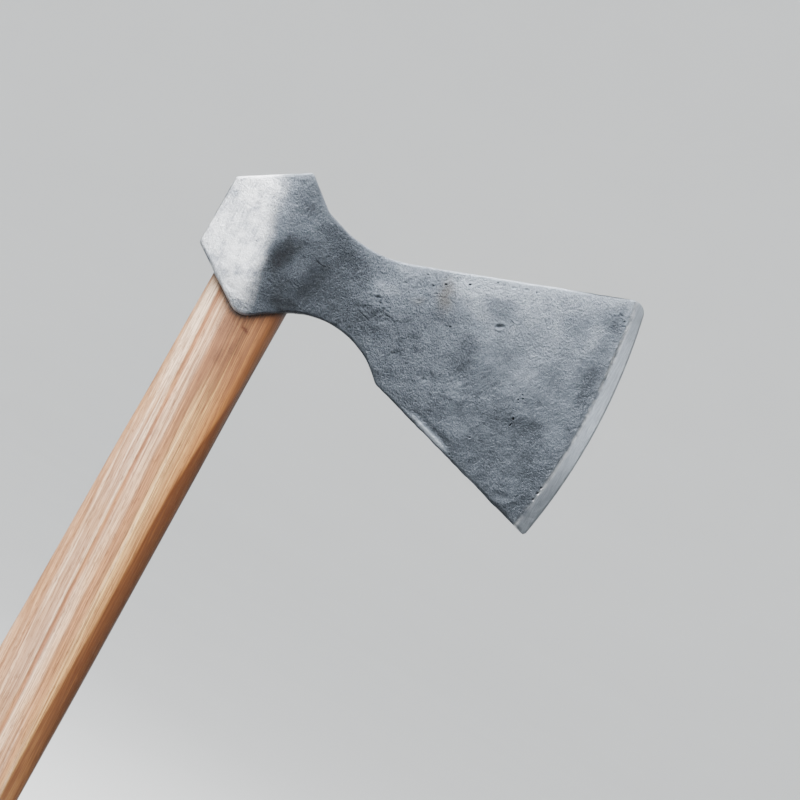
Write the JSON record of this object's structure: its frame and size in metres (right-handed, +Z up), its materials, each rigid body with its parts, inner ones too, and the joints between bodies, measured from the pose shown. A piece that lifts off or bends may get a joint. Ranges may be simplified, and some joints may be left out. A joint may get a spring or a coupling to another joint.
{
  "type": "carving hatchet",
  "caption": "Forged carving hatchet: hexagonal eye with pointed lugs, slim neck, wide bearded blade with a curved edge, on a straight oval wooden haft held by wedges.",
  "frame": {"origin": "centre of the haft's flat butt", "axes": "+Z up the haft to the head, +X towards the cutting edge, +Y across the cheeks (the left cheek is at -Y when the edge points to +X)"},
  "size_m": [0.1658, 0.032, 0.3786],
  "materials": {
    "forged_steel": "satin, forged and ground",
    "haft_wood": "oiled",
    "wedge_wood": "oiled end grain",
    "wedge_steel": "dull, as driven"
  },
  "bodies": {
    "root": {"head": "forged_steel", "haft": "haft_wood", "wooden_wedge": "wedge_wood", "steel_wedge": "wedge_steel"}
  },
  "joints": []
}
